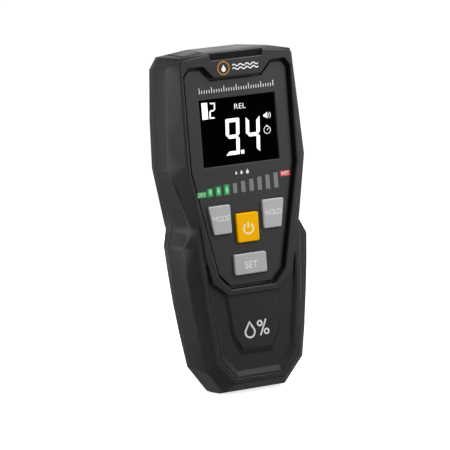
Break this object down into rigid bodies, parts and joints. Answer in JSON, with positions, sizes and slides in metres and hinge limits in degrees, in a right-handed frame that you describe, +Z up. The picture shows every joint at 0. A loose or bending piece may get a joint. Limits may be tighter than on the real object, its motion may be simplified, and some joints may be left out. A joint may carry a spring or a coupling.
{
  "type": "moisture meter",
  "caption": "Hand-held pinless moisture meter with a faceted two-shell housing, sunken face panel, display, bar indicator, push buttons, rear sensing pad and battery door.",
  "frame": {"origin": "middle of the housing in width and depth, at the level of the flat end it rests on", "axes": "+Z runs up the long axis of the housing from the grip to the head, the display faces -Y, the rear sensing pad faces +Y, and +X is to the right of someone facing the display"},
  "size_m": [0.0672, 0.031, 0.1504],
  "materials": {
    "housing_black": "fine moulded texture",
    "housing_rear_black": "fine moulded texture",
    "seal_rubber": "dull",
    "grip_soft": "soft-touch, fine grain",
    "inlay_smoked": "smoked, satin",
    "cap_polished": "polished",
    "panel_grey": "fine matt",
    "window_clear": "polished",
    "bar_green": "diffusing, lit from behind",
    "bar_dark": "diffusing",
    "button_silver": "satin paint",
    "button_amber": "satin",
    "display_glass": "negative liquid crystal",
    "light_guide": "satin",
    "strip_rubber": "dull",
    "board_green": "solder mask",
    "screw_steel": "zinc plated",
    "switch_black": "moulded",
    "led_white": "moulded",
    "chip_black": "moulded",
    "part_tan": "fired",
    "can_aluminium": "drawn",
    "buzzer_black": "moulded",
    "pad_black": "satin",
    "copper": "foil",
    "battery_jacket": "printed steel jacket",
    "terminal_steel": "plated",
    "snap_black": "moulded",
    "lead_red": "PVC sleeve",
    "lead_black": "PVC sleeve",
    "lead_white": "PVC sleeve",
    "foam_grey": "open foam"
  },
  "bodies": {
    "housing": {"front_shell": "housing_black", "rear_shell": "housing_rear_black", "parting_seal": "seal_rubber", "grip_pad": "grip_soft", "top_inlay": "inlay_smoked", "top_cap": "cap_polished", "front_panel": "panel_grey", "display_window": "window_clear", "lit_bars": "bar_green", "dark_bars": "bar_dark", "display_glass": "display_glass", "display_backlight": "light_guide", "contact_strip": "strip_rubber", "main_board": "board_green", "board_screws": "screw_steel", "key_switches": "switch_black", "indicator_lights": "led_white", "controller_chip": "chip_black", "board_parts": "part_tan", "capacitors": "can_aluminium", "buzzer": "buzzer_black", "sensor_pad": "pad_black", "sensor_plate": "copper", "battery": "battery_jacket", "battery_terminals": "terminal_steel", "battery_snap": "snap_black", "red_lead": "lead_red", "black_lead": "lead_black", "sensor_lead": "lead_white", "shell_screws": "screw_steel"},
    "mode_key": {"mode_button": "button_silver"},
    "hold_key": {"hold_button": "button_silver"},
    "power_key": {"power_button": "button_amber"},
    "set_key": {"set_button": "button_silver"},
    "door": {"battery_door": "housing_rear_black", "door_foam": "foam_grey"}
  },
  "joints": [
    {"name": "mode_press", "type": "slide", "parent": "housing", "child": "mode_key", "axis": [0, 1, 0], "range_m": [0, 0.0006], "stiffness_N_per_m": 2500},
    {"name": "hold_press", "type": "slide", "parent": "housing", "child": "hold_key", "axis": [0, 1, 0], "range_m": [0, 0.0006], "stiffness_N_per_m": 2500},
    {"name": "power_press", "type": "slide", "parent": "housing", "child": "power_key", "axis": [0, 1, 0], "range_m": [0, 0.0006], "stiffness_N_per_m": 2500},
    {"name": "set_press", "type": "slide", "parent": "housing", "child": "set_key", "axis": [0, 1, 0], "range_m": [0, 0.0006], "stiffness_N_per_m": 2500},
    {"name": "door_lift", "type": "slide", "parent": "housing", "child": "door", "axis": [0, 1, 0], "range_m": [0, 0.04]}
  ]
}
